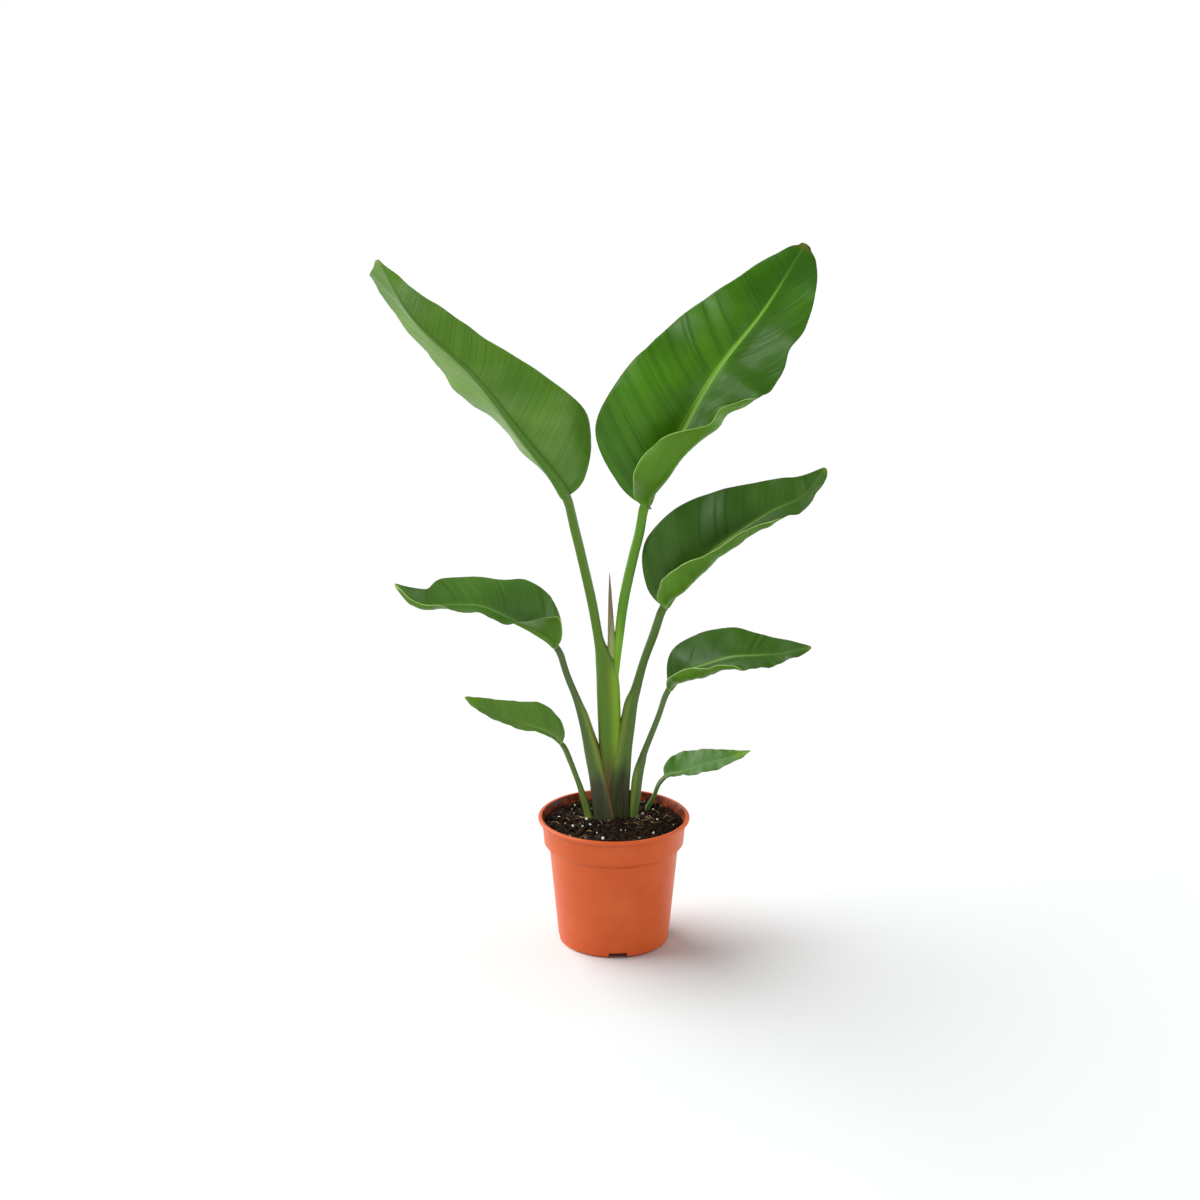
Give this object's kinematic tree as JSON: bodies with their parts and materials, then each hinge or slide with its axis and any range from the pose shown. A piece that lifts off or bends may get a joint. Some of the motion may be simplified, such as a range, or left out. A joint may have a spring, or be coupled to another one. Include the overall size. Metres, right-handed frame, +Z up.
{
  "type": "potted bird of paradise",
  "caption": "Young bird of paradise houseplant: paddle leaves on long stalks rise in a fan from sheathed bases, in a round terracotta-coloured nursery pot of soil.",
  "frame": {"origin": "the middle of the pot's foot, on the ground", "axes": "+Z up, +X to the right of someone who faces the fan of leaves, +Y away from them"},
  "size_m": [0.396, 0.14, 0.6376],
  "materials": {
    "pot_plastic": "satin",
    "peat": "matte",
    "stalk_green": "satin",
    "blade_green": "satin",
    "spear_green": "satin"
  },
  "bodies": {
    "root": {"pot": "pot_plastic", "soil": "peat", "stalk_1": "stalk_green", "stalk_2": "stalk_green", "stalk_3": "stalk_green", "stalk_4": "stalk_green", "stalk_5": "stalk_green", "stalk_6": "stalk_green", "stalk_7": "stalk_green", "blade_1": "blade_green", "blade_2": "blade_green", "blade_3": "blade_green", "blade_4": "blade_green", "blade_5": "blade_green", "blade_6": "blade_green", "blade_7": "blade_green", "spear_leaf": "spear_green"}
  },
  "joints": []
}
